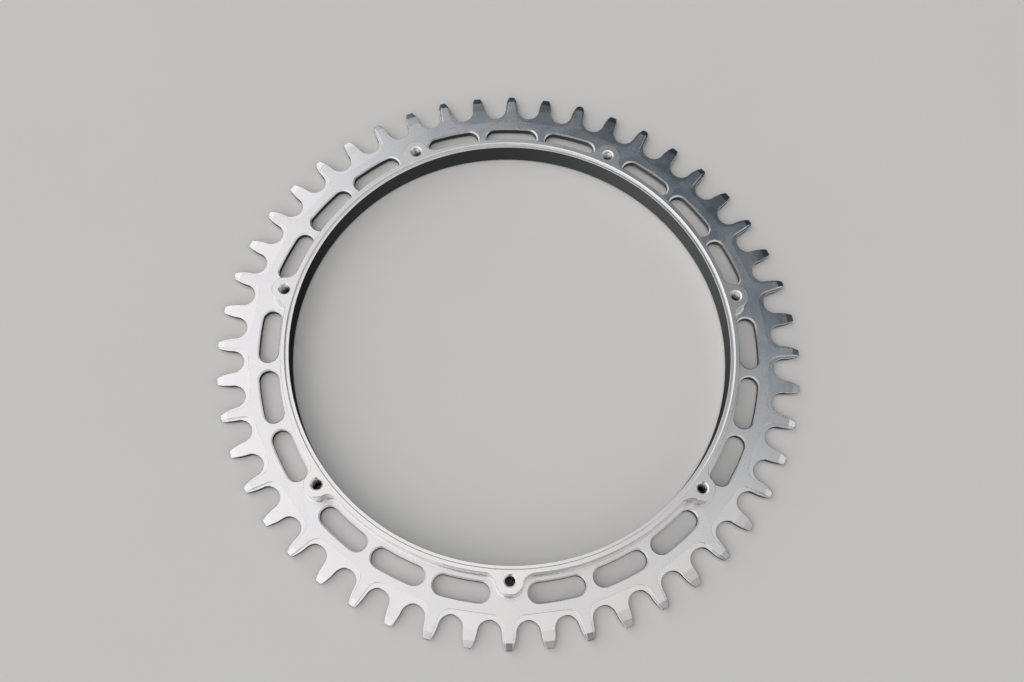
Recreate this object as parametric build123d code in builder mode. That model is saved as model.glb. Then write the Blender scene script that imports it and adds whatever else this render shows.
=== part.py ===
from build123d import *
from math import atan2, degrees, hypot, radians, sin, sqrt, tan
import os

# Bicycle chainring with alternating wide and narrow teeth, machined from one piece of aluminium.
# It lies on its flat back: the back is at z = 0, the ring's axis is Z and the raised flange points up.
# Sizes are in millimetres and angles in degrees.

# Teeth
chain_pitch = 12.7
tooth_pairs = 24
seat_radius = 3.98
seat_half_angle = 84
tooth_addendum = 5.41
tip_width = 2.4
tip_corner_radius = 0.35

# Thickness of the plate, which the wide teeth share, and of the narrow teeth
plate_thickness = 3.2
narrow_thickness = 2.0

# Bevel at the tips of the wide teeth
tip_bevel_length = 2.35
wide_tip_thickness = 1.7

# Narrow teeth: a gentle slope from near the pitch circle, then a steeper bevel to the tip
narrow_slope_length = 3.35
narrow_bevel_thickness = 1.56
narrow_tip_thickness = 0.6

# Relief pockets round the narrow teeth, which leave a rib standing on each wide tooth
pocket_margin = 1.9
pocket_corner_radius = 4.0
rib_width = 2.94
rib_taper = 5.7

# Slots through the plate, in groups between the lugs
rim_width = 3.27
slot_width = 6.6
slots_per_group = 3
slot_web = 3.2
slot_to_lug = 2.0
slot_chamfer = 0.5

# Raised flange round the bore
flange_height = 7.6
flange_gap = 2.08
flange_width = 2.82
foot_radius = 0.6
bore_chamfer = 0.5
lip_width = 1.1
lip_depth = 1.05
lip_bevel_width = 0.1

# Lugs on the flange, each with a hole for a bolt
lug_count = 7
first_lug_angle = -90
lug_offset = 2.12
lug_radius = 4.35
lug_blend_radius = 4.0
hole_diameter = 3.4
hole_chamfer = 0.5

# Radii, from the teeth inwards
tooth_count = 2 * tooth_pairs
tooth_angle = 360 / tooth_count
pitch_radius = chain_pitch / 2 / sin(radians(tooth_angle / 2))
tip_radius = pitch_radius + tooth_addendum
clear_radius = tip_radius + tooth_addendum
bevel_radius = tip_radius - tip_bevel_length
slope_radius = bevel_radius - narrow_slope_length
pocket_radius = pitch_radius - seat_radius - pocket_margin
slot_radius = pocket_radius - rim_width - slot_width / 2
flange_radius = slot_radius - slot_width / 2 - flange_gap
bore_radius = flange_radius - flange_width
bolt_radius = flange_radius + lug_offset

# Heights
flange_top = plate_thickness + flange_height
lip_top = flange_top - lip_depth
pocket_depth = (plate_thickness - narrow_thickness) / 2
middle_section = Plane(origin=(0, 0, plate_thickness / 2), x_dir=(1, 0, 0), z_dir=(0, -1, 0))


def turned(x, y, angle):
    return Vector(x, y).rotate(Axis.Z, angle)


# Plan of the teeth: a round seat for the roller in each space, and a convex flank up to each tip
corner_angle = (tooth_angle - degrees(tip_width / tip_radius)) / 2
with BuildSketch() as tooth_plan:
    with BuildLine():
        for number in range(tooth_count):
            space_angle = (number + 0.5) * tooth_angle
            seat_middle = turned(pitch_radius, 0, space_angle)
            seat_start = space_angle + 180 - seat_half_angle
            seat = CenterArc(seat_middle, seat_radius, seat_start, 2 * seat_half_angle)
            right_tip = turned(tip_radius, 0, space_angle - corner_angle)
            left_tip = turned(tip_radius, 0, space_angle + corner_angle)
            tooth_middle = turned(tip_radius, 0, space_angle + tooth_angle / 2)
            next_right_tip = turned(tip_radius, 0, space_angle + tooth_angle - corner_angle)
            TangentArc(seat @ 0, left_tip, tangent=(seat % 0) * -1)
            TangentArc(seat @ 1, right_tip, tangent=seat % 1)
            ThreePointArc(left_tip, tooth_middle, next_right_tip)
    make_face()
    tip_corners = tooth_plan.vertices().filter_by(lambda v: hypot(v.X, v.Y) > bevel_radius)
    fillet(tip_corners, radius=tip_corner_radius)

# Plan of one relief pocket, on a narrow tooth that points along +X
rib_edge = turned(pitch_radius, -rib_width / 2, tooth_angle)
rib_slope = tan(radians(tooth_angle + rib_taper))
pocket_half_width = rib_edge.Y - rib_slope * (rib_edge.X - pocket_radius)
mouth_half_width = rib_edge.Y + rib_slope * (clear_radius - rib_edge.X)
with BuildSketch() as pocket_plan:
    with BuildLine():
        Polyline(
            (clear_radius, mouth_half_width),
            (pocket_radius, pocket_half_width),
            (pocket_radius, -pocket_half_width),
            (clear_radius, -mouth_half_width),
            close=True,
        )
    make_face()
    fillet(pocket_plan.vertices().group_by(Axis.X)[0], radius=pocket_corner_radius)

# Plan of one lug, which points along +X and flows into the flange by a hollow curve on each side
blend_reach = flange_radius + lug_blend_radius
lug_reach = lug_radius + lug_blend_radius
blend_x = (bolt_radius**2 + blend_reach**2 - lug_reach**2) / (2 * bolt_radius)
blend_y = sqrt(blend_reach**2 - blend_x**2)
lug_half_arc = degrees(atan2(blend_y, blend_x - bolt_radius))
blend_arc = degrees(atan2(blend_y, blend_x)) - lug_half_arc
with BuildSketch() as lug_plan:
    with BuildLine():
        CenterArc((bolt_radius, 0), lug_radius, -lug_half_arc, 2 * lug_half_arc)
        left_blend = CenterArc((blend_x, blend_y), lug_blend_radius, 180 + lug_half_arc, blend_arc)
        right_blend = CenterArc((blend_x, -blend_y), lug_blend_radius, 180 - lug_half_arc, -blend_arc)
        Line(left_blend @ 1, right_blend @ 1)
    make_face()

# Plan of one slot along the ring, on +X
lug_angle = 360 / lug_count
web_angle = degrees(slot_web / slot_radius)
lug_clear_angle = degrees((lug_radius + slot_to_lug) / slot_radius)
slot_angle = (lug_angle - 2 * lug_clear_angle - (slots_per_group - 1) * web_angle) / slots_per_group
slot_arc = slot_angle - degrees(slot_width / slot_radius)
slot_middle = CenterArc((0, 0), slot_radius, -slot_arc / 2, slot_arc)
with BuildSketch() as slot_plan:
    SlotArc(slot_middle, slot_width)

# Band of narrow teeth, thinned towards the tips
with BuildPart() as narrow_band:
    with BuildSketch(Plane.XY.offset(pocket_depth)):
        add(tooth_plan.sketch)
        Circle(pocket_radius - rim_width / 2, mode=Mode.SUBTRACT)
    extrude(amount=narrow_thickness)
    with BuildSketch(middle_section):
        with BuildLine():
            Polyline(
                (slope_radius, narrow_thickness / 2),
                (bevel_radius, narrow_bevel_thickness / 2),
                (tip_radius, narrow_tip_thickness / 2),
                (clear_radius, narrow_tip_thickness / 2),
                (clear_radius, narrow_thickness / 2),
                close=True,
            )
        make_face()
        mirror(about=Plane.XZ)
    revolve(axis=Axis.Z, mode=Mode.SUBTRACT)

with BuildPart() as chainring:
    # Plate with the wide teeth, whose ribs the pockets leave standing
    with BuildSketch():
        add(tooth_plan.sketch)
        with PolarLocations(0, tooth_pairs, start_angle=tooth_angle):
            add(pocket_plan.sketch, mode=Mode.SUBTRACT)
        Circle(bore_radius, mode=Mode.SUBTRACT)
    extrude(amount=plate_thickness)
    with BuildSketch(middle_section):
        with BuildLine():
            Polyline(
                (bevel_radius, plate_thickness / 2),
                (tip_radius, wide_tip_thickness / 2),
                (clear_radius, wide_tip_thickness / 2),
                (clear_radius, plate_thickness / 2),
                close=True,
            )
        make_face()
        mirror(about=Plane.XZ)
    revolve(axis=Axis.Z, mode=Mode.SUBTRACT)
    add(narrow_band.part)

    # Groups of slots between the lugs, with chamfered rims
    with BuildSketch():
        for number in range(slots_per_group):
            slot_turn = lug_clear_angle + slot_angle / 2 + number * (slot_angle + web_angle)
            with PolarLocations(0, lug_count, start_angle=first_lug_angle + slot_turn):
                add(slot_plan.sketch)
    extrude(amount=plate_thickness, mode=Mode.SUBTRACT)
    slot_edges = chainring.edges(Select.LAST)
    lower_rims = slot_edges.filter_by_position(Axis.Z, 0, 0)
    upper_rims = slot_edges.filter_by_position(Axis.Z, plate_thickness, plate_thickness)
    chamfer(lower_rims + upper_rims, length=slot_chamfer)

    # Raised flange and lugs, with a hollow curve round their foot
    with BuildSketch(Plane.XY.offset(plate_thickness)):
        Circle(flange_radius)
        with PolarLocations(0, lug_count, start_angle=first_lug_angle):
            add(lug_plan.sketch)
        Circle(bore_radius, mode=Mode.SUBTRACT)
    extrude(amount=flange_height)
    foot_edges = chainring.edges(Select.LAST).filter_by_position(Axis.Z, plate_thickness, plate_thickness)
    flange_middle = bore_radius + flange_width / 2
    outer_edges = foot_edges.filter_by(lambda e: hypot((e @ 0.5).X, (e @ 0.5).Y) > flange_middle)
    fillet(outer_edges, radius=foot_radius)

    # Stepped lip at the top of the bore, and a chamfer at its bottom
    with BuildSketch(Plane.XZ):
        with BuildLine():
            Polyline(
                (bore_radius, lip_top),
                (bore_radius + lip_width, lip_top),
                (bore_radius + lip_width + lip_bevel_width, flange_top),
                (bore_radius, flange_top),
                close=True,
            )
        make_face()
        with BuildLine():
            Polyline(
                (bore_radius, 0),
                (bore_radius + bore_chamfer, 0),
                (bore_radius, bore_chamfer),
                close=True,
            )
        make_face()
    revolve(axis=Axis.Z, mode=Mode.SUBTRACT)

    # Bolt holes, with a countersunk mouth
    with Locations(Plane.XY.offset(flange_top)):
        with PolarLocations(bolt_radius, lug_count, start_angle=first_lug_angle):
            CounterSinkHole(hole_diameter / 2, hole_diameter / 2 + hole_chamfer, counter_sink_angle=90)

os.makedirs("parts", exist_ok=True)
chainring.part.label = "chainring"
export_step(chainring.part, "parts/chainring.step")
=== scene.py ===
import bpy
from math import atan2, cos, degrees, hypot, inf, pi, radians, sin, sqrt, tan
from mathutils import Matrix, Vector
from mathutils.geometry import delaunay_2d_cdt


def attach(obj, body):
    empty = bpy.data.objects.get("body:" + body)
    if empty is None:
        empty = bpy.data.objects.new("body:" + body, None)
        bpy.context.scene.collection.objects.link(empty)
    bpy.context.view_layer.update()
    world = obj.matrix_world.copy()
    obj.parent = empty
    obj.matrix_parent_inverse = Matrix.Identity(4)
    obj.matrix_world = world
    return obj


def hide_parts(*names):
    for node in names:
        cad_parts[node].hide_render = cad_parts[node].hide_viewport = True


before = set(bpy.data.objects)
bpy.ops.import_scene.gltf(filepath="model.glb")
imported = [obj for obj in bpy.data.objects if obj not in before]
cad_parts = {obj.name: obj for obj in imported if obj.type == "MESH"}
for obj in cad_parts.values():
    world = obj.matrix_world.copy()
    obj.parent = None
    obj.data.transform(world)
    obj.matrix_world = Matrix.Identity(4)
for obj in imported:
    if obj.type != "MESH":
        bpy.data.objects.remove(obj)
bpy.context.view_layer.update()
mm = 0.001  # plans are drawn in millimetres
print("frame loaded")

finishOf = {  # which finish each kind of face has
    "plate": "milled", "slope": "milled", "relief": "relief", "tip": "tipBevel",
    "step": "sideCut", "wall": "sideCut", "foot": "sideCut", "thread": "threadCut",
    "flangeTop": "turned", "lip": "turned", "bore": "turned", "rim": "rimCut",
    "lipBevel": "brokenEdge", "edge": "brokenEdge", "chamfer": "brokenEdge",
}
finishNames = ["milled", "relief", "tipBevel", "sideCut", "turned", "brokenEdge", "rimCut", "threadCut"]
near = {  # how close counts as the same, in millimetres or degrees
    "weld": 5e-5, "height": 1e-4, "point": 1e-3, "line": 0.01, "edge": 0.02, "wall": 0.05,
}
heightDigits = 4  # heights that agree to this many places share a corner
inBreak = 0.9  # share of an edge break's width that its faces' middles lie within


def polar(radius, angle):
    return (radius * cos(radians(angle)), radius * sin(radians(angle)))


def arc(centre, radius, start, sweep, parts):
    turns = [start + sweep * i / parts for i in range(parts + 1)]
    return [(centre[0] + radius * cos(radians(t)), centre[1] + radius * sin(radians(t))) for t in turns]


def distanceTo(path, x, y):  # from a point to a run of straight lines
    best = inf
    for (ax, ay), (bx, by) in zip(path, path[1:]):
        dx, dy = bx - ax, by - ay
        t = max(0, min(1, ((x - ax) * dx + (y - ay) * dy) / (dx * dx + dy * dy)))
        best = min(best, hypot(x - ax - t * dx, y - ay - t * dy))
    return best


class Plan:  # a flat drawing: points, and the lines that a cut follows
    def __init__(self):
        self.points = []
        self.lines = []

    def draw(self, path, closed=False, keep=None):
        if keep:
            path = [p if keep(p) else None for p in path]
        for i, point in enumerate(path):
            if point is None:
                continue
            self.points.append(point)
            if i and path[i - 1] is not None:
                self.lines.append((len(self.points) - 2, len(self.points) - 1))
        if closed:
            self.lines.append((len(self.points) - 1, len(self.points) - len(path)))


class Cutting:  # a closed sheet of metal over a plan, with walls where its levels differ
    def __init__(self, plan, sideAt, topAt, bottomAt, finishAt, wallAt):
        drawn = [Vector(p) for p in plan.points]
        points, _, faces, *_ = delaunay_2d_cdt(drawn, plan.lines, [], 0, near["weld"])
        self.points = [(p.x, p.y) for p in points]
        self.columns = [{} for _ in points]
        self.corners = []
        self.faces = []
        self.kinds = []
        sides, owner = [], {}
        for face in faces:
            xs, ys = zip(*[self.points[v] for v in face])
            middle = (sum(xs) / 3, sum(ys) / 3)
            side = sideAt(*middle)
            if side is None:
                continue
            area = (xs[1] - xs[0]) * (ys[2] - ys[0]) - (xs[2] - xs[0]) * (ys[1] - ys[0])
            face = list(face) if area > 0 else list(face)[::-1]
            for i in range(3):
                owner[face[i], face[(i + 1) % 3]] = len(sides)
            sides.append(side)
            upper = [self.corner(v, topAt(side, *self.points[v])) for v in face]
            self.add(upper, finishAt(side, *middle, True))
            lower = [self.corner(v, bottomAt(side, *self.points[v])) for v in face]
            self.add(lower[::-1], finishAt(side, *middle, False))
        for (a, b), mine in owner.items():
            other = owner.get((b, a))
            (ax, ay), (bx, by) = self.points[a], self.points[b]
            kind = wallAt((ax + bx) / 2, (ay + by) / 2)
            side = sides[mine]
            top = [topAt(side, ax, ay), topAt(side, bx, by)]
            low = [bottomAt(side, ax, ay), bottomAt(side, bx, by)]
            if other is None:
                if kind:
                    self.wall(a, b, top, low, kind)
            elif mine < other and sides[other] != side:
                far = sides[other]
                self.wall(a, b, top, [topAt(far, ax, ay), topAt(far, bx, by)], "step")
                self.wall(a, b, [bottomAt(far, ax, ay), bottomAt(far, bx, by)], low, "step")

    def corner(self, point, z):
        key = round(z, heightDigits)
        column = self.columns[point]
        if key not in column:
            column[key] = len(self.corners)
            self.corners.append((*self.points[point], z))
        return column[key]

    def climb(self, point, start, end):  # the corners on one upright, from one height to another
        low, high = sorted((round(start, heightDigits), round(end, heightDigits)))
        levels = sorted(z for z in self.columns[point] if low <= z <= high)
        return [self.columns[point][z] for z in (levels if start < end else levels[::-1])]

    def wall(self, a, b, upper, lower, kind):
        if max(abs(u - l) for u, l in zip(upper, lower)) > near["height"]:
            self.add(self.climb(a, upper[0], lower[0]) + self.climb(b, lower[1], upper[1]), kind)

    def add(self, face, kind):
        self.faces.append(face)
        self.kinds.append(kind)

    def build(self, name):
        mesh = bpy.data.meshes.new(name)
        mesh.from_pydata([[c * mm for c in p] for p in self.corners], [], self.faces, shade_flat=False)
        finish = mesh.attributes.new("finish", "INT", "FACE")
        finish.data.foreach_set("value", [finishNames.index(finishOf[k]) for k in self.kinds])
        sharp = mesh.attributes.new("sharp_edge", "BOOLEAN", "EDGE")
        met = {}
        for face, kind in zip(mesh.polygons, self.kinds):
            for key in face.edge_keys:
                met.setdefault(key, set()).add(kind)
        sharp.data.foreach_set("value", [len(met[e.key]) > 1 for e in mesh.edges])
        piece = bpy.data.objects.new(name, mesh)
        bpy.context.collection.objects.link(piece)
        return piece


ring = {  # the solid's sizes, in millimetres and degrees
    "chainPitch": 12.7, "toothPairs": 24, "seatRadius": 3.98, "seatHalfAngle": 84, "addendum": 5.41,
    "tipWidth": 2.4, "tipCorner": 0.35, "plate": 3.2, "narrow": 2.0, "bevelLength": 2.35, "wideTip": 1.7,
    "slopeLength": 3.35, "narrowBevel": 1.56, "narrowTip": 0.6, "pocketMargin": 1.9, "pocketCorner": 4.0,
    "ribWidth": 2.94, "ribTaper": 5.7, "rimWidth": 3.27, "slotWidth": 6.6, "slotWeb": 3.2,
    "slotToLug": 2.0, "slotsPerGroup": 3, "slotChamfer": 0.5, "flangeHeight": 7.6, "flangeGap": 2.08,
    "flangeWidth": 2.82, "footRadius": 0.6, "boreChamfer": 0.5, "lipWidth": 1.1, "lipDepth": 1.05,
    "lipBevel": 0.1, "lugs": 7, "firstLug": -90, "lugOffset": 2.12, "lugRadius": 4.35, "lugBlend": 4.0,
    "holeRadius": 1.7, "holeChamfer": 0.5,
}
broken = {  # widths of the edge breaks left by deburring
    "tooth": 0.12, "rib": 0.08, "flange": 0.12, "bore": 0.1, "lip": 0.24, "hole": 0.3,
}
joinParts = 672  # the toothed and slotted bands meet on a circle of this many points

toothAngle = 180 / ring["toothPairs"]
pitchRadius = ring["chainPitch"] / 2 / sin(radians(toothAngle / 2))
tipRadius = pitchRadius + ring["addendum"]
bevelRadius = tipRadius - ring["bevelLength"]
slopeRadius = bevelRadius - ring["slopeLength"]
pocketRadius = pitchRadius - ring["seatRadius"] - ring["pocketMargin"]
slotRadius = pocketRadius - ring["rimWidth"] - ring["slotWidth"] / 2
flangeRadius = slotRadius - ring["slotWidth"] / 2 - ring["flangeGap"]
boreRadius = flangeRadius - ring["flangeWidth"]
boltRadius = flangeRadius + ring["lugOffset"]
flangeTop = ring["plate"] + ring["flangeHeight"]
joinRadius = pocketRadius - ring["rimWidth"] / 2


def slide(x, points):  # height on a run of straight slopes
    for (x0, z0), (x1, z1) in zip(points, points[1:]):
        if x <= x1:
            return z0 + (z1 - z0) * max(0, x - x0) / (x1 - x0)
    return points[-1][1]


toothParts = {  # straight parts along each curve of a tooth pair
    "tip": 3, "tipCorner": 5, "flank": 8, "seat": 10, "pocketCorner": 14, "bevel": 40,
}
pocketReach = 12  # the pocket's sides run on past the tips by this much


def toothLine():  # outline from one wide tooth's middle, past a narrow tooth, to the next one's middle
    space = toothAngle / 2
    seat = Vector(polar(pitchRadius, space))
    seatStart = space - 180 + ring["seatHalfAngle"]
    tipAngle = degrees(ring["tipWidth"] / 2 / tipRadius)
    foot = seat + Vector(polar(ring["seatRadius"], seatStart))
    tangent = Vector(polar(1, space - 90 + ring["seatHalfAngle"]))
    inward = Vector((tangent.y, -tangent.x))
    reach = Vector(polar(tipRadius, tipAngle)) - foot
    flankRadius = reach.length_squared / (2 * inward.dot(reach))
    flank = foot + inward * flankRadius
    a, b, c = flankRadius - ring["tipCorner"], tipRadius - ring["tipCorner"], flank.length
    turn = (b * b + c * c - a * a) / (2 * b * c)
    cornerAngle = degrees(atan2(flank.y, flank.x)) + degrees(atan2(sqrt(1 - turn * turn), turn))
    corner = Vector(polar(b, cornerAngle))
    leave = degrees(atan2(corner.y - flank.y, corner.x - flank.x))
    arrive = degrees(atan2(foot.y - flank.y, foot.x - flank.x))
    runs = [
        arc((0, 0), tipRadius, 0, cornerAngle, toothParts["tip"]),
        arc(corner, ring["tipCorner"], cornerAngle, leave - cornerAngle, toothParts["tipCorner"])[1:],
        arc(flank, flankRadius, leave, arrive - leave, toothParts["flank"])[1:],
        arc(seat, ring["seatRadius"], seatStart, -ring["seatHalfAngle"], toothParts["seat"])[1:],
    ]
    quarter = [p for run in runs for p in run]
    half = quarter + [mirrored(p, space) for p in quarter[-2::-1]]
    return [(x, -y) for x, y in half[:0:-1]] + half


def mirrored(point, angle):
    c, s = cos(radians(2 * angle)), sin(radians(2 * angle))
    return (c * point[0] + s * point[1], s * point[0] - c * point[1])


def inset(path, depth):  # the same path moved into the metal, which is on the axis side
    moved = []
    for i, (x, y) in enumerate(path):
        ax, ay = path[max(i - 1, 0)]
        bx, by = path[min(i + 1, len(path) - 1)]
        length = hypot(bx - ax, by - ay)
        moved.append((x - depth * (by - ay) / length, y + depth * (bx - ax) / length))
    return moved


def pocketLine(grow):  # relief pocket round the narrow tooth, moved outwards by grow
    taper = toothAngle + ring["ribTaper"]
    slope = tan(radians(taper))
    ribX = pitchRadius * cos(radians(toothAngle)) + ring["ribWidth"] / 2 * sin(radians(toothAngle))
    ribY = pitchRadius * sin(radians(toothAngle)) - ring["ribWidth"] / 2 * cos(radians(toothAngle))
    middleX = pocketRadius + ring["pocketCorner"]
    middleY = ribY + slope * (middleX - ribX) - ring["pocketCorner"] / cos(radians(taper))
    radius = ring["pocketCorner"] + grow
    corner = arc((middleX, middleY), radius, 90 + taper, 90 - taper, toothParts["pocketCorner"])
    end = (corner[0][0] + pocketReach, corner[0][1] + pocketReach * slope)
    upper = [end] + corner
    return upper + [(x, -y) for x, y in upper[::-1]]


def makeTooth():
    line = toothLine()
    pocket = pocketLine(0)
    plan = Plan()
    parts = round(2 * toothAngle * joinParts / 360)
    joint = arc((0, 0), joinRadius, -toothAngle, 2 * toothAngle, parts)
    border = joint + line[::-1]
    breakLine = inset(line, broken["tooth"])
    plan.draw(joint)
    plan.draw(line)
    plan.draw(breakLine)
    for end, angle in ((0, -toothAngle), (-1, toothAngle)):
        seam = [polar(radius, angle) for radius in (joinRadius, slopeRadius, bevelRadius)]
        plan.draw(seam + [breakLine[end], line[end]])
    plan.draw(pocket)
    plan.draw(pocketLine(broken["rib"]))
    for radius in (slopeRadius, bevelRadius):
        plan.draw(arc((0, 0), radius, -toothAngle, 2 * toothAngle, toothParts["bevel"]))
    halfPlate = ring["plate"] / 2
    slopes = {  # half the thickness, from the rim to the tip
        "wide": [(bevelRadius, halfPlate), (tipRadius, ring["wideTip"] / 2)],
        "narrow": [(slopeRadius, ring["narrow"] / 2), (bevelRadius, ring["narrowBevel"] / 2),
                   (tipRadius, ring["narrowTip"] / 2)],
    }

    def inside(x, y, outline):
        crossings = 0
        for (ax, ay), (bx, by) in zip(outline, outline[1:] + outline[:1]):
            if (ay > y) != (by > y) and x < ax + (bx - ax) * (y - ay) / (by - ay):
                crossings += 1
        return crossings % 2

    def sideAt(x, y):
        if not inside(x, y, border):
            return None
        return "narrow" if inside(x, y, pocket) else "wide"

    def thickAt(side, x, y):
        height = slide(hypot(x, y), slopes[side])
        height -= max(0, broken["tooth"] - distanceTo(line, x, y))
        if side == "wide":
            height -= max(0, broken["rib"] - distanceTo(pocket, x, y))
        return height

    def topAt(side, x, y):
        return halfPlate + thickAt(side, x, y)

    def bottomAt(side, x, y):
        return halfPlate - thickAt(side, x, y)

    def finishAt(side, x, y, upper):  # the same on both faces
        if distanceTo(line, x, y) < broken["tooth"] * inBreak:
            return "edge"
        if side == "wide" and distanceTo(pocket, x, y) < broken["rib"] * inBreak:
            return "edge"
        radius = hypot(x, y)
        if radius > bevelRadius:
            return "tip"
        if side == "narrow":
            return "slope" if radius > slopeRadius else "relief"
        return "plate"

    def wallAt(x, y):
        atSeam = abs(abs(degrees(atan2(y, x))) - toothAngle) < near["point"]
        return None if atSeam or hypot(x, y) < joinRadius + near["line"] else "wall"

    return Cutting(plan, sideAt, topAt, bottomAt, finishAt, wallAt).build("toothPair")


lugParts = {"lug": 18, "blend": 16, "slotSide": 16, "slotEnd": 18}  # straight parts along each curve
footStep = 15  # degrees between lines on the hollow curve round the foot
footMargin = 0.15  # a narrow band of plate shaded with that curve
thread = {  # in millimetres; rows for each turn, and parts round the hole
    "pitch": 0.7, "depth": 0.35, "flank": 0.23, "rowsPerTurn": 8, "parts": 28,
}


def makeLug():
    lugAngle = 360 / ring["lugs"]
    half = lugAngle / 2
    parts = round(joinParts / ring["lugs"])
    step = lugAngle / parts
    perGroup = ring["slotsPerGroup"]
    clearAngle = degrees((ring["lugRadius"] + ring["slotToLug"]) / slotRadius)
    webAngle = degrees(ring["slotWeb"] / slotRadius)
    slotAngle = (lugAngle - 2 * clearAngle - (perGroup - 1) * webAngle) / perGroup
    slotArc = slotAngle - degrees(ring["slotWidth"] / slotRadius)
    slotTurns = [clearAngle + slotAngle / 2 + i * (slotAngle + webAngle) for i in (0, 1)]
    slotMiddles = [-turn for turn in slotTurns] + slotTurns
    blendReach = flangeRadius + ring["lugBlend"]
    lugReach = ring["lugRadius"] + ring["lugBlend"]
    blendX = (boltRadius**2 + blendReach**2 - lugReach**2) / (2 * boltRadius)
    blendY = sqrt(blendReach**2 - blendX**2)
    lugHalf = degrees(atan2(blendY, blendX - boltRadius))
    blendAngle = degrees(atan2(blendY, blendX))
    blendSpan = 3 * ring["lugBlend"]  # farther off, a point isn't beside the hollow blend
    plainArc = half - blendAngle

    def flangeLine(grow):
        upper = arc((boltRadius, 0), ring["lugRadius"] + grow, 0, lugHalf, lugParts["lug"])
        hollow = ring["lugBlend"] - grow
        upper += arc((blendX, blendY), hollow, 180 + lugHalf, blendAngle - lugHalf, lugParts["blend"])[1:]
        upper += arc((0, 0), flangeRadius + grow, blendAngle, plainArc, round(plainArc / step))[1:]
        return [(x, -y) for x, y in upper[:0:-1]] + upper

    def beyondFlange(x, y):
        y = abs(y)
        away = degrees(atan2(blendY - y, blendX - x))
        fromBlend = hypot(x - blendX, y - blendY)
        if blendAngle <= away <= lugHalf and fromBlend < blendSpan:
            return ring["lugBlend"] - fromBlend
        return min(hypot(x, y) - flangeRadius, hypot(x - boltRadius, y) - ring["lugRadius"])

    def slotLine(middle, grow):
        reach = ring["slotWidth"] / 2 + grow
        ends = [middle - slotArc / 2, middle + slotArc / 2]
        outer = arc((0, 0), slotRadius + reach, ends[0], slotArc, lugParts["slotSide"])
        inner = arc((0, 0), slotRadius - reach, ends[1], -slotArc, lugParts["slotSide"])
        far = arc(polar(slotRadius, ends[1]), reach, ends[1], 180, lugParts["slotEnd"])[1:-1]
        close = arc(polar(slotRadius, ends[0]), reach, ends[0] + 180, 180, lugParts["slotEnd"])[1:-1]
        return outer + far + inner + close

    def beyondSlot(x, y):
        best = inf
        for middle in slotMiddles:
            turn = degrees(atan2(y, x)) - middle
            if abs(turn) <= slotArc / 2:
                gap = abs(hypot(x, y) - slotRadius)
            else:
                endX, endY = polar(slotRadius, middle + (slotArc / 2 if turn > 0 else -slotArc / 2))
                gap = hypot(x - endX, y - endY)
            best = min(best, gap - ring["slotWidth"] / 2)
        return best

    def dropAt(x, y):  # how far a slot's chamfer has dropped below the face
        return ring["slotChamfer"] - max(0, min(ring["slotChamfer"], beyondSlot(x, y)))

    lipEdge = boreRadius + ring["lipWidth"]
    lipRim = lipEdge + ring["lipBevel"]
    lipTop = flangeTop - ring["lipDepth"]
    lipHeights = [
        (boreRadius, lipTop - broken["bore"]), (boreRadius + broken["bore"], lipTop),
        (lipEdge, lipTop), (lipRim, flangeTop - broken["lip"]), (lipRim + broken["lip"], flangeTop),
    ]
    boreEdge = boreRadius + ring["boreChamfer"]
    boreHeights = [(boreRadius, ring["boreChamfer"]), (boreEdge, 0)]
    foot = ring["footRadius"]
    footSteps = [foot * (1 - cos(radians(turn))) for turn in range(0, 91, footStep)]
    holeRadius = ring["holeRadius"]
    upperMouth = holeRadius + ring["holeChamfer"]
    lowerMouth = holeRadius + broken["hole"]
    plan = Plan()
    for radius in [p[0] for p in lipHeights] + [boreEdge, joinRadius]:
        plan.draw(arc((0, 0), radius, -half, lugAngle, parts))
    for angle in (-half, half):
        plan.draw([polar(boreRadius, angle), polar(joinRadius, angle)])
    for grow in [-broken["flange"]] + footSteps + [foot + footMargin]:
        plan.draw(flangeLine(grow), keep=lambda p: beyondSlot(*p) > ring["slotChamfer"])
    for middle in slotMiddles:
        for grow in (0, ring["slotChamfer"]):
            plan.draw(slotLine(middle, grow), closed=True)
    for radius in (holeRadius, lowerMouth, upperMouth):
        plan.draw(arc((boltRadius, 0), radius, 0, 360, thread["parts"])[:-1], closed=True)
    boreInside = boreRadius * cos(radians(step / 2))  # the middles of the bore's straight parts
    holeInside = holeRadius * cos(pi / thread["parts"])

    def sideAt(x, y):
        if abs(degrees(atan2(y, x))) > half or not boreInside < hypot(x, y) < joinRadius:
            return None
        if hypot(x - boltRadius, y) < holeInside:
            return None
        gap = beyondSlot(x, y)
        if gap < ring["slotChamfer"]:
            return None if gap < 0 else "rim"
        return "flange" if beyondFlange(x, y) < 0 else "plate"

    def topAt(side, x, y):
        if side == "rim":
            return ring["plate"] - dropAt(x, y)
        beyond = beyondFlange(x, y)
        if side == "flange":
            height = slide(hypot(x, y), lipHeights) - max(0, broken["flange"] + min(0, beyond))
            return height - max(0, upperMouth - hypot(x - boltRadius, y))
        short = max(0, foot - max(0, beyond))
        return ring["plate"] + foot - sqrt(foot**2 - short**2)

    def bottomAt(side, x, y):
        if side == "rim":
            return dropAt(x, y)
        return slide(hypot(x, y), boreHeights) + max(0, lowerMouth - hypot(x - boltRadius, y))

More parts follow.
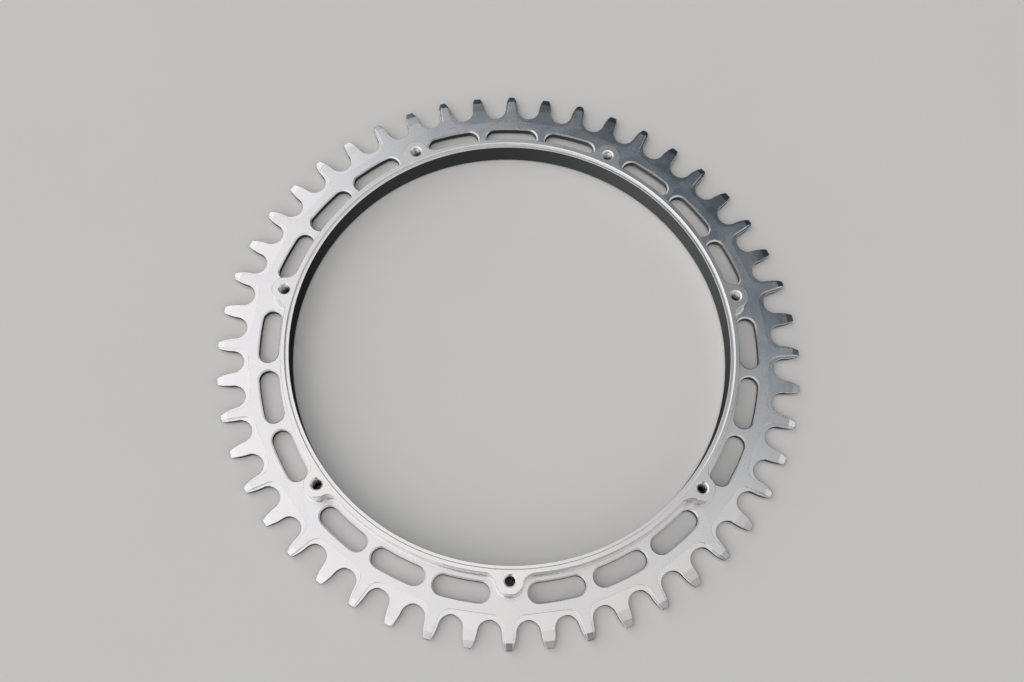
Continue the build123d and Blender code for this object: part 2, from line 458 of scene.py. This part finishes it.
    def finishAt(side, x, y, upper):
        radius = hypot(x, y)
        fromHole = hypot(x - boltRadius, y)
        if side == "rim":
            return "rim"
        if not upper:
            atEdge = fromHole < lowerMouth - near["edge"] or radius < boreEdge - near["edge"]
            return "chamfer" if atEdge else "plate"
        if side == "plate":
            return "foot" if beyondFlange(x, y) < foot + footMargin - near["line"] else "plate"
        if fromHole < upperMouth - near["edge"]:
            return "chamfer"
        if radius < boreRadius + broken["bore"] * inBreak or beyondFlange(x, y) > -inBreak * broken["flange"]:
            return "edge"
        if radius < lipRim - near["line"]:
            return "lip" if radius < lipEdge else "lipBevel"
        return "edge" if radius < lipRim + broken["lip"] - near["line"] else "flangeTop"

    def wallAt(x, y):
        radius = hypot(x, y)
        if abs(abs(degrees(atan2(y, x))) - half) < near["point"] or radius > joinRadius - near["line"]:
            return None
        if hypot(x - boltRadius, y) < holeRadius + near["wall"]:
            return None
        return "bore" if radius < boreRadius + near["wall"] else "wall"

    lug = Cutting(plan, sideAt, topAt, bottomAt, finishAt, wallAt)
    lug.kinds = ["foot" if k == "step" else k for k in lug.kinds]
    cutThread(lug)
    return lug.build("lugAndSlots")


def cutThread(lug):  # the wall of the bolt hole, from its countersink to its lower mouth
    def fromHole(i):
        return hypot(lug.points[i][0] - boltRadius, lug.points[i][1])

    def turnOf(i):
        return atan2(lug.points[i][1], lug.points[i][0] - boltRadius)

    used = [i for i, column in enumerate(lug.columns) if column]
    around = sorted((i for i in used if abs(fromHole(i) - ring["holeRadius"]) < near["point"]), key=turnOf)
    high, low = flangeTop - ring["holeChamfer"], broken["hole"]
    rows = round((high - low) / thread["pitch"] * thread["rowsPerTurn"])
    grid = [[lug.corner(i, high) for i in around]]
    for row in range(1, rows):
        z = high + (low - high) * row / rows
        ends = min(1, row / thread["rowsPerTurn"], (rows - row) / thread["rowsPerTurn"])
        line = []
        for turn in map(turnOf, around):
            phase = (z / thread["pitch"] + turn / (2 * pi)) % 1
            climb = 0.5 + (0.25 - abs(phase - 0.5)) * thread["pitch"] / thread["flank"]  # half crest, half root
            radius = ring["holeRadius"] + ends * thread["depth"] * max(0, min(1, climb))
            line.append(len(lug.corners))
            lug.corners.append((boltRadius + radius * cos(turn), radius * sin(turn), z))
        grid.append(line)
    grid.append([lug.corner(i, low) for i in around])
    count = len(around)
    for upper, lower in zip(grid, grid[1:]):
        for i in range(count):
            j = (i + 1) % count
            lug.add([upper[i], upper[j], lower[j], lower[i]], "thread")


toothPair = makeTooth()
lugAndSlots = makeLug()
print("tooth pair", len(toothPair.data.polygons), "lug and slots", len(lugAndSlots.data.polygons))


class Wire:  # a shader socket that takes part in plain sums
    def __init__(self, tree, socket=None):
        self.tree = tree
        self.socket = socket

    def node(self, kind, settings={}, inputs={}, out=0):
        made = self.tree.nodes.new("ShaderNode" + kind)
        for name, value in settings.items():
            setattr(made, name, value)
        for name, value in inputs.items():
            if isinstance(value, Wire):
                self.tree.links.new(value.socket, made.inputs[name])
            else:
                made.inputs[name].default_value = value
        return Wire(self.tree, made.outputs[out])

    def math(self, operation, *values):
        return self.node("Math", {"operation": operation}, dict(enumerate(values)))

    def mix(self, first, second):  # colours, by this value
        return self.node("Mix", {"data_type": "RGBA"}, {0: self, 6: first, 7: second}, 2)

    def axes(self):  # the three numbers of a place or direction
        split = self.node("SeparateXYZ", inputs={0: self}).socket.node
        return [Wire(self.tree, socket) for socket in split.outputs]

    def __add__(self, other):
        return self.math("ADD", self, other)

    def __sub__(self, other):
        return self.math("SUBTRACT", self, other)

    def __rsub__(self, other):
        return self.math("SUBTRACT", other, self)

    def __mul__(self, other):
        return self.math("MULTIPLY", self, other)

    __radd__ = __add__
    __rmul__ = __mul__


def startMaterial(name):
    material = bpy.data.materials.new(name)
    material.use_nodes = True
    tree = material.node_tree
    return material, Wire(tree), tree.nodes["Principled BSDF"]


def feed(shader, **values):  # plain numbers go straight on the shader's sockets
    for name, value in values.items():
        socket = shader.inputs[name.replace("_", " ")]
        if isinstance(value, Wire):
            value.tree.links.new(value.socket, socket)
        else:
            socket.default_value = value


def opaque(colour):
    return (*colour, 1)


metal = {  # finishes of the one piece of aluminium, each with the two colours it drifts between
    "milled": {"rough": 0.27, "drift": 0.12, "passes": 0.035, "lines": "ring", "bump": 0.08,
               "warm": (0.900, 0.872, 0.884), "cool": (0.762, 0.788, 0.818)},
    "relief": {"rough": 0.23, "drift": 0.10, "passes": 0.03, "lines": "ring", "bump": 0.08,
               "warm": (0.895, 0.882, 0.884), "cool": (0.800, 0.812, 0.835)},
    "tipBevel": {"rough": 0.21, "drift": 0.05, "passes": 0.02, "lines": "ring", "bump": 0.15,
                 "warm": (0.870, 0.865, 0.866), "cool": (0.800, 0.806, 0.820)},
    "sideCut": {"rough": 0.22, "drift": 0.06, "passes": 0.02, "lines": "upright", "bump": 0.45,
                "warm": (0.860, 0.850, 0.850), "cool": (0.770, 0.778, 0.795)},
    "turned": {"rough": 0.31, "drift": 0.05, "passes": 0.02, "lines": "turned", "bump": 0.45,
               "warm": (0.945, 0.925, 0.922), "cool": (0.875, 0.872, 0.880), "stretch": 0.85},
    "brokenEdge": {"rough": 0.25, "drift": 0.05, "passes": 0.0, "lines": "ring", "bump": 0.20,
                   "warm": (0.925, 0.920, 0.920), "cool": (0.860, 0.862, 0.870)},
    "rimCut": {"rough": 0.43, "drift": 0.05, "passes": 0.0, "lines": "ring", "bump": 0.15,
               "warm": (0.955, 0.950, 0.950), "cool": (0.900, 0.905, 0.910)},
    # threadCut's colour also carries painted shade, darker deeper down the bolt hole
    "threadCut": {"rough": 0.22, "drift": 0.05, "passes": 0.0, "lines": "upright", "bump": 0.10,
                  "warm": (0.960, 0.955, 0.950), "cool": (0.700, 0.705, 0.715), "streaks": 4.0,
                  "paintedShade": {"from": 6.4, "to": 3.2, "colour": (0.16, 0.16, 0.165)}},
}
lineScales = {  # per metre outwards, per radian round, per metre up; upright lines are along x, y and z
    "ring": (1500, 14, 1500), "turned": (4200, 25, 4200), "pass": (210, 15, 210), "upright": (1600, 1600, 60),
}
grain = {  # sizes of the soft patches and specks per metre, and how far each mark shows
    "cloudScale": 75.0, "speckScale": 900.0, "bumpDepth": 0.00002, "streakBump": 0.7, "speckBump": 0.3,
    "cloudColour": 1.3, "streakColour": 0.35, "speckColour": 0.25, "passColour": 4, "streakRough": 0.06,
}


def makeFinish(name, look):
    material, start, shader = startMaterial(name + "Aluminium")
    place = start.node("TexCoord", out="Object")
    x, y, z = place.axes()
    radius = start.math("SQRT", x * x + y * y)
    turn = start.math("ARCTAN2", y, x)

    def spread(axes, scales):
        parts = [axis * scale for axis, scale in zip(axes, scales)]
        return start.node("CombineXYZ", inputs=dict(enumerate(parts)))

    def noise(place, scale, detail, **more):
        return start.node("TexNoise", inputs={"Vector": place, "Scale": scale, "Detail": detail, **more})

    along = spread((x, y, z) if look["lines"] == "upright" else (radius, turn, z), lineScales[look["lines"]])
    streak = noise(along, 1.0, 3.0, Roughness=0.6)
    cloud = noise(place, grain["cloudScale"], 4.0, Roughness=0.55, Distortion=0.8)
    speck = noise(place, grain["speckScale"], 2.0)
    sweep = {"Vector": spread((radius, turn, z), lineScales["pass"]), "Scale": 1.0, "Exponent": 6.0}
    cell = start.node("TexVoronoi", {"distance": "MINKOWSKI"}, sweep, out="Color")
    tool = start.node("SeparateColor", inputs={0: cell})  # one level for each pass of the cutter
    streaks = look.get("streaks", grain["streakColour"])
    blend = 0.5 + (cloud - 0.5) * grain["cloudColour"] + (streak - 0.5) * streaks
    blend = blend + (speck - 0.5) * grain["speckColour"] + (tool - 0.5) * grain["passColour"] * look["passes"]
    colour = start.node("Clamp", inputs={0: blend}).mix(opaque(look["cool"]), opaque(look["warm"]))
    if "paintedShade" in look:  # painted shade: the colour darkens towards the bottom of the hole, standing in for the shade there
        depth = {"Value": z, "From Min": look["paintedShade"]["from"] * mm, "From Max": look["paintedShade"]["to"] * mm}
        colour = start.node("MapRange", inputs=depth).mix(colour, opaque(look["paintedShade"]["colour"]))
    height = streak * grain["streakBump"] + speck * grain["speckBump"]
    marks = {"Strength": look["bump"], "Distance": grain["bumpDepth"], "Height": height}
    rough = look["rough"] + (cloud - 0.5) * look["drift"]
    rough = rough + (streak - 0.5) * grain["streakRough"] + (tool - 0.5) * look["passes"]
    feed(shader, Base_Color=colour, Metallic=1.0, Roughness=rough, Normal=start.node("Bump", inputs=marks))
    feed(shader, Anisotropic=look.get("stretch", 0.0))
    return material


skins = [makeFinish(name, metal[name]) for name in finishNames]
print("finishes", len(skins))


def patternTree():  # tooth pairs and lug sectors set round the axis and joined
    tree = bpy.data.node_groups.new("ringPattern", "GeometryNodeTree")
    tree.interface.new_socket("Ring", in_out="OUTPUT", socket_type="NodeSocketGeometry")
    kinds = {"Tooth pair": "Object", "Tooth pairs": "Int", "First tooth": "Float",
             "Lug": "Object", "Lugs": "Int", "First lug": "Float", "Weld": "Float"}
    for name, kind in kinds.items():
        tree.interface.new_socket(name, in_out="INPUT", socket_type="NodeSocket" + kind)

    def node(kind, settings={}, **inputs):
        made = tree.nodes.new(kind)
        for key, value in settings.items():
            setattr(made, key, value)
        for key, value in inputs.items():
            place = int(key[1:]) if key[1:].isdigit() else key
            if hasattr(value, "is_output"):
                tree.links.new(value, made.inputs[place])
            else:
                made.inputs[place].default_value = value
        return made.outputs

    def sums(operation, **inputs):
        return node("ShaderNodeMath", {"operation": operation}, **inputs)[0]

    given = node("NodeGroupInput")
    whole = tree.nodes.new("GeometryNodeJoinGeometry")
    for piece, count, first in (("Tooth pair", "Tooth pairs", "First tooth"), ("Lug", "Lugs", "First lug")):
        source = node("GeometryNodeObjectInfo", {"transform_space": "ORIGINAL"}, Object=given[piece])
        spots = node("GeometryNodePoints", Count=given[count])[0]
        share = sums("DIVIDE", _0=2 * pi, _1=given[count])
        number = node("GeometryNodeInputIndex")[0]
        turn = sums("MULTIPLY_ADD", _0=number, _1=share, _2=given[first])
        spin = node("FunctionNodeEulerToRotation", _0=node("ShaderNodeCombineXYZ", Z=turn)[0])[0]
        copies = node("GeometryNodeInstanceOnPoints", Points=spots, Instance=source["Geometry"], Rotation=spin)
        tree.links.new(copies[0], whole.inputs[0])
    real = node("GeometryNodeRealizeInstances", _0=whole.outputs[0])[0]
    result = node("GeometryNodeMergeByDistance", Geometry=real, Distance=given["Weld"])[0]
    finish = node("GeometryNodeInputNamedAttribute", {"data_type": "INT"}, Name="finish")[0]
    result = node("GeometryNodeSetMaterial", Geometry=result, Material=skins[0])[0]
    for number, skin in list(enumerate(skins))[1:]:
        same = {"data_type": "INT", "operation": "EQUAL"}
        chosen = node("FunctionNodeCompare", same, _2=finish, _3=number)[0]
        result = node("GeometryNodeSetMaterial", Geometry=result, Selection=chosen, Material=skin)[0]
    tree.links.new(result, tree.nodes.new("NodeGroupOutput").inputs[0])
    return tree


def runTree(name, tree, values):  # a plain mesh from a tree, with its inputs set by identifier
    piece = bpy.data.objects.new(name, bpy.data.meshes.new(name))
    bpy.context.collection.objects.link(piece)
    step = piece.modifiers.new("pattern", "NODES")
    step.node_group = tree
    for item in tree.interface.items_tree:
        if item.in_out == "INPUT":
            step[item.identifier] = values[item.name]
    bpy.context.view_layer.update()
    evaluated = piece.evaluated_get(bpy.context.evaluated_depsgraph_get())
    mesh = bpy.data.meshes.new_from_object(evaluated)
    if mesh.materials[0] is None:  # the bare copies' own empty slot
        mesh.materials.pop(index=0)
    piece.modifiers.remove(step)
    piece.data = mesh
    mesh.name = name
    return piece


body = runTree("chainringBody", patternTree(), {
    "Tooth pair": toothPair, "Tooth pairs": ring["toothPairs"], "First tooth": radians(toothAngle),
    "Lug": lugAndSlots, "Lugs": ring["lugs"], "First lug": radians(ring["firstLug"]), "Weld": 0.002 * mm,
})
for part in (toothPair, lugAndSlots):
    bpy.data.objects.remove(part)
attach(body, "root")
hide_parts("chainring")
print("chainring body", len(body.data.polygons), "faces", [m.name for m in body.data.materials])

floorLook = {"size": 40.0, "colour": (0.80, 0.80, 0.79), "shade": 0.97, "patches": 14.0, "rough": 0.62}


def makeFloor():
    material, start, shader = startMaterial("paleFloor")
    place = start.node("TexCoord", out="Object")
    mottle = start.node("TexNoise", inputs={"Vector": place, "Scale": floorLook["patches"], "Detail": 5.0})
    shade = [floorLook["shade"] * c for c in floorLook["colour"]]
    colour = mottle.mix(opaque(shade), opaque(floorLook["colour"]))
    feed(shader, Base_Color=colour, Roughness=floorLook["rough"])
    half = floorLook["size"] / 2
    corners = [(-half, -half, 0), (half, -half, 0), (half, half, 0), (-half, half, 0)]
    mesh = bpy.data.meshes.new("floor")
    mesh.from_pydata(corners, [], [(0, 1, 2, 3)])
    mesh.materials.append(material)
    floor = bpy.data.objects.new("floor", mesh)
    floor.visible_glossy = False  # kept out of the metal's reflections
    bpy.context.collection.objects.link(floor)


makeFloor()

studio = {  # a soft white tent, open towards the far right; directions are unit vectors
    "right": 0.70, "left": 1.1, "turnover": (-0.62, 0.56),  # brightness of its sides, and where it changes
    "farSide": (0, 1), "farEdge": 0.228, "cornerSide": (0.819, 0.574), "cornerEdge": 0.238,
    "roof": 0.937, "sill": 0.13, "soft": 0.03, "opening": 0.042,  # edges and brightness of the opening
    "gap": (0.06, -0.543, 0.838), "gapEdge": 0.972, "gapShade": 0.85,  # dark gap round the camera
    "fold": (0.41, -0.287, 0.866), "foldEdge": 0.93, "foldShade": 0.40,  # dimmer fold beside it
    "panel": (0.703, 0.074, 0.707), "panelEdge": 0.982, "panelGain": 0.25,  # brighter patch on the right
    "slit": (-0.36, 0.28), "slitFront": 0.7, "slitTop": 0.36, "slitShade": 0.85,  # dark slit low in front
    "ground": -0.06, "lower": (0.010, 0.090, 0.032),  # dark lower half: its right, left and front
    "lowerTurn": (0.0, 0.45), "lowerFront": (-0.25, 0.15),
    "tint": (1.0, 0.976, 0.972), "openingTint": (0.50, 1.0, 1.36), "lowerTint": (0.90, 1.0, 0.95),
    "warmSide": (0.300, -0.050, 0.953), "warm": (0.90, 0.99), "warmTint": (1.0, 0.972, 0.935),  # overhead
}


def makeStudio():
    world = bpy.data.worlds.new("studio")
    world.use_nodes = True
    start = Wire(world.node_tree)
    x, y, z = start.node("TexCoord", out="Generated").axes()
    soft = studio["soft"]

    def rise(value, low, high):
        limits = {"Value": value, "From Min": low, "From Max": high}
        return start.node("MapRange", {"interpolation_type": "SMOOTHSTEP"}, limits)

    def past(value, edge):
        return rise(value, edge - soft, edge + soft)

    def towards(name):
        return sum(part * axis for part, axis in zip(studio[name], (x, y, z)))

    tent = studio["right"] + (studio["left"] - studio["right"]) * rise(0 - x, *studio["turnover"])
    tent = tent + studio["panelGain"] * past(towards("panel"), studio["panelEdge"])
    opening = past(towards("farSide"), studio["farEdge"])
    opening = opening * past(towards("cornerSide"), studio["cornerEdge"])
    opening = opening * (1 - past(z, studio["roof"])) * past(z, studio["sill"])
    gap = past(towards("gap"), studio["gapEdge"])
    fold = past(towards("fold"), studio["foldEdge"])
    slitStart, slitEnd = studio["slit"]
    slit = past(0 - y, studio["slitFront"]) * past(x, slitStart) * (1 - past(x, slitEnd))
    slit = slit * (1 - past(z, studio["slitTop"]))
    glow = tent * (1 - (1 - studio["opening"]) * opening) * (1 - studio["gapShade"] * gap)
    glow = glow * (1 - studio["foldShade"] * fold) * (1 - studio["slitShade"] * slit)
    below = 1 - past(z, studio["ground"])
    right, left, front = studio["lower"]
    right = right + (front - right) * rise(0 - y, *studio["lowerFront"])
    lower = right + (left - right) * rise(0 - x, *studio["lowerTurn"])
    glow = glow * (1 - below) + below * lower
    warm = rise(towards("warmSide"), *studio["warm"])
    tint = warm.mix(opaque(studio["tint"]), opaque(studio["warmTint"]))
    tint = below.mix(opening.mix(tint, opaque(studio["openingTint"])), opaque(studio["lowerTint"]))
    feed(world.node_tree.nodes["Background"], Color=tint, Strength=glow)
    bpy.context.scene.world = world


makeStudio()
bpy.context.scene.view_settings.view_transform = "Standard"

shot = {  # millimetres and radians
    "at": (-9.461, -121.606, 353.182), "tilt": (-0.3408, -0.0300, 0.0044), "lens": 37.0, "nearest": 10.0,
}


def makeCamera():
    lens = bpy.data.cameras.new("camera")
    lens.lens = shot["lens"]
    lens.sensor_fit = "HORIZONTAL"
    lens.clip_start = shot["nearest"] * mm
    camera = bpy.data.objects.new("camera", lens)
    flip = Matrix.Diagonal((1, -1, -1))
    spins = [Matrix.Rotation(angle, 3, axis) for angle, axis in zip(shot["tilt"], "XYZ")]
    facing = (flip @ spins[0] @ spins[1] @ spins[2] @ flip).transposed()
    camera.matrix_world = Matrix.Translation(Vector(shot["at"]) * mm) @ facing.to_4x4()
    bpy.context.collection.objects.link(camera)
    bpy.context.scene.camera = camera


makeCamera()
print("floor, studio and camera ready")
